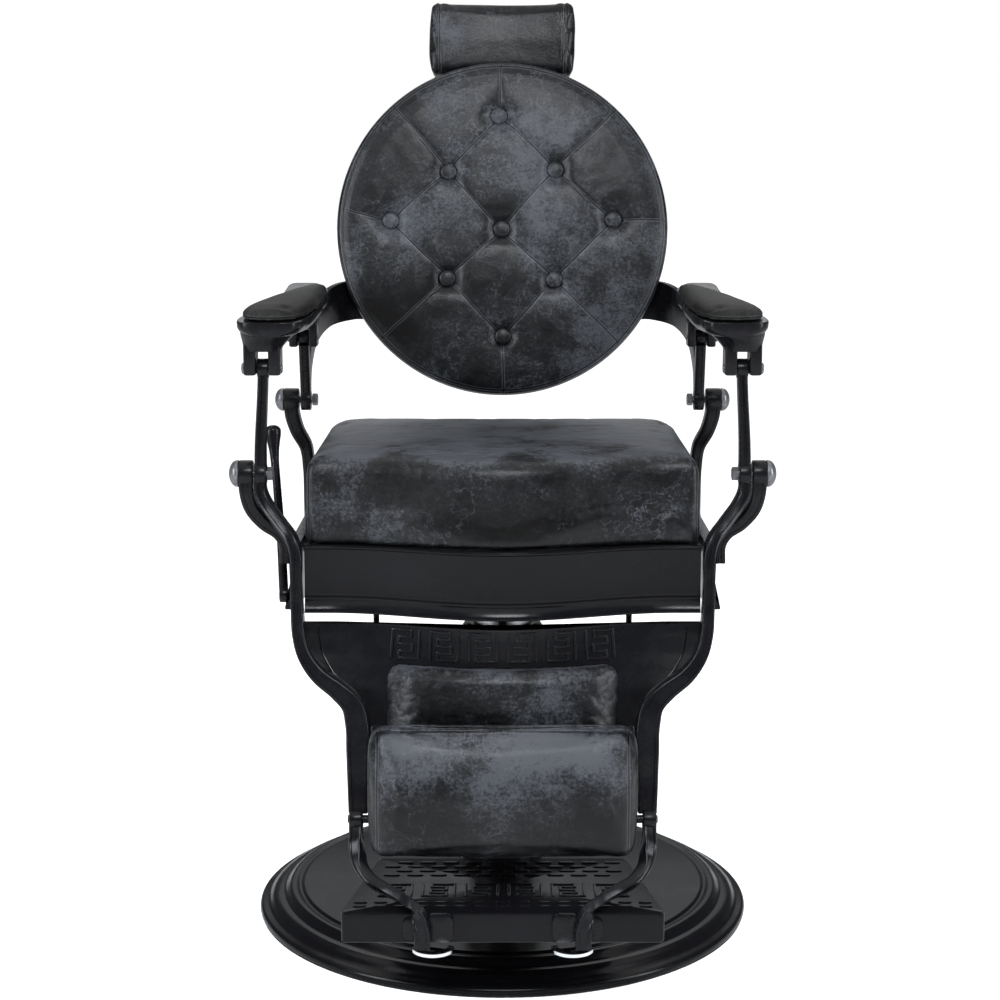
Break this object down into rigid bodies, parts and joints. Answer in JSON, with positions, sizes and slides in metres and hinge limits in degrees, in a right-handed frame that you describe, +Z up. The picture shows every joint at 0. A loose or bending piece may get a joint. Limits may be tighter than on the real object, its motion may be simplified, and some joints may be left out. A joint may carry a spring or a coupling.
{
  "type": "hydraulic barber chair",
  "caption": "Round-base hydraulic barber chair with buttoned round back, lever armrests, swinging leg rest, flip footrest and headrest.",
  "frame": {"origin": "on the floor, under the middle of the round base and on the seat's swivel axis", "axes": "+Z up along the lift column, the sitter faces -Y, +X is the sitter's left"},
  "size_m": [0.7176, 0.91, 1.3221],
  "materials": {
    "black_casting": "satin black powder coat",
    "painted_aluminium": "cast, painted satin black",
    "dark_metal": "rubbed dark grey dome",
    "worn_leather": "distressed black leather, semi-gloss",
    "arm_leather": "brown-black leather, satin",
    "chrome": "polished",
    "steel": "plain",
    "rubber": "matte",
    "plywood": "raw"
  },
  "bodies": {
    "base": {"base_shell": "black_casting", "base_bottom_plate": "steel", "floor_ring": "rubber", "pump_body": "black_casting", "gland_nut": "steel", "base_bolt_1": "steel", "base_bolt_2": "steel", "base_bolt_3": "steel", "base_bolt_4": "steel"},
    "pedal": {"pedal_lever": "black_casting", "pedal_pad": "rubber"},
    "lift": {"piston": "chrome"},
    "seat": {"spider_plate": "black_casting", "seat_board": "plywood", "recline_strut": "black_casting", "apron_front": "black_casting", "apron_rear": "black_casting", "seat_cushion": "worn_leather", "stop_rod_left": "black_casting", "stop_rod_right": "black_casting", "apron_side_left": "black_casting", "apron_side_right": "black_casting", "front_horn_left": "painted_aluminium", "front_horn_right": "painted_aluminium", "rear_horn_left": "painted_aluminium", "rear_horn_right": "painted_aluminium", "front_pivot_bolt_left": "dark_metal", "front_pivot_bolt_right": "dark_metal", "rear_pivot_bolt_left": "dark_metal", "rear_pivot_bolt_right": "dark_metal"},
    "release": {"recline_rod": "black_casting", "recline_grip": "painted_aluminium"},
    "back": {"back_lever_left": "painted_aluminium", "back_lever_right": "painted_aluminium", "back_panel": "worn_leather", "back_cushion": "worn_leather", "headrest_socket": "black_casting", "headrest_knob": "rubber"},
    "head_stem": {"headrest_stem": "chrome"},
    "head": {"headrest_plate": "painted_aluminium", "headrest_pad": "worn_leather"},
    "legrest": {"front_lever_left": "painted_aluminium", "front_lever_right": "painted_aluminium", "leg_panel": "painted_aluminium", "calf_pad": "worn_leather", "step_arm_left": "painted_aluminium", "step_arm_right": "painted_aluminium", "step_tread": "painted_aluminium", "step_glide_left": "chrome", "step_glide_right": "chrome"},
    "flip_rest": {"flip_tread": "painted_aluminium", "flip_pad": "worn_leather"},
    "arm_left": {"armrest_left": "painted_aluminium", "arm_front_pin_left": "steel", "arm_rear_pin_left": "steel", "arm_pad_left": "arm_leather"},
    "arm_right": {"armrest_right": "painted_aluminium", "arm_front_pin_right": "steel", "arm_rear_pin_right": "steel", "arm_pad_right": "arm_leather"}
  },
  "joints": [
    {"name": "pedal_press", "type": "hinge", "parent": "base", "child": "pedal", "pos_m": [0, 0.086, 0.071], "axis": [-1, 0, 0], "range_deg": [0, 8], "stiffness_Nm_per_rad": 15, "springref_deg": -14.32},
    {"name": "seat_lift", "type": "slide", "parent": "base", "child": "lift", "axis": [0, 0, 1], "range_m": [0, 0.15]},
    {"name": "seat_swivel", "type": "hinge", "parent": "lift", "child": "seat", "pos_m": [0, 0, 0.5], "axis": [0, 0, 1], "continuous": true},
    {"name": "recline", "type": "hinge", "parent": "seat", "child": "back", "pos_m": [0, 0.13, 0.73], "axis": [-1, 0, 0], "range_deg": [0, 40]},
    {"name": "legrest_swing", "type": "hinge", "parent": "seat", "child": "legrest", "pos_m": [0, -0.2, 0.67], "axis": [-1, 0, 0], "range_deg": [0, 28.5]},
    {"name": "arm_left_pivot", "type": "hinge", "parent": "legrest", "child": "arm_left", "pos_m": [0.315, -0.2, 0.81], "axis": [-1, 0, 0], "range_deg": [-30, 0]},
    {"name": "arm_right_pivot", "type": "hinge", "parent": "legrest", "child": "arm_right", "pos_m": [-0.315, -0.2, 0.81], "axis": [-1, 0, 0], "range_deg": [-30, 0]},
    {"name": "footrest_flip", "type": "hinge", "parent": "legrest", "child": "flip_rest", "pos_m": [0, -0.345, 0.241], "axis": [1, 0, 0], "range_deg": [0, 90]},
    {"name": "headrest_height", "type": "slide", "parent": "back", "child": "head_stem", "axis": [0, 0.1219, 0.9925], "range_m": [0, 0.08]},
    {"name": "headrest_tilt", "type": "hinge", "parent": "head_stem", "child": "head", "pos_m": [0, 0.37012, 1.22376], "axis": [1, 0, 0], "range_deg": [0, 25]},
    {"name": "recline_release", "type": "hinge", "parent": "seat", "child": "release", "pos_m": [-0.2965, -0.172, 0.5], "axis": [-1, 0, 0], "range_deg": [0, 18], "stiffness_Nm_per_rad": 3, "springref_deg": -11.46}
  ],
  "couplings": [
    {"joint": "legrest_swing", "follows": "recline", "ratio": 0.704},
    {"joint": "arm_left_pivot", "follows": "recline", "ratio": -0.735},
    {"joint": "arm_right_pivot", "follows": "recline", "ratio": -0.735}
  ]
}
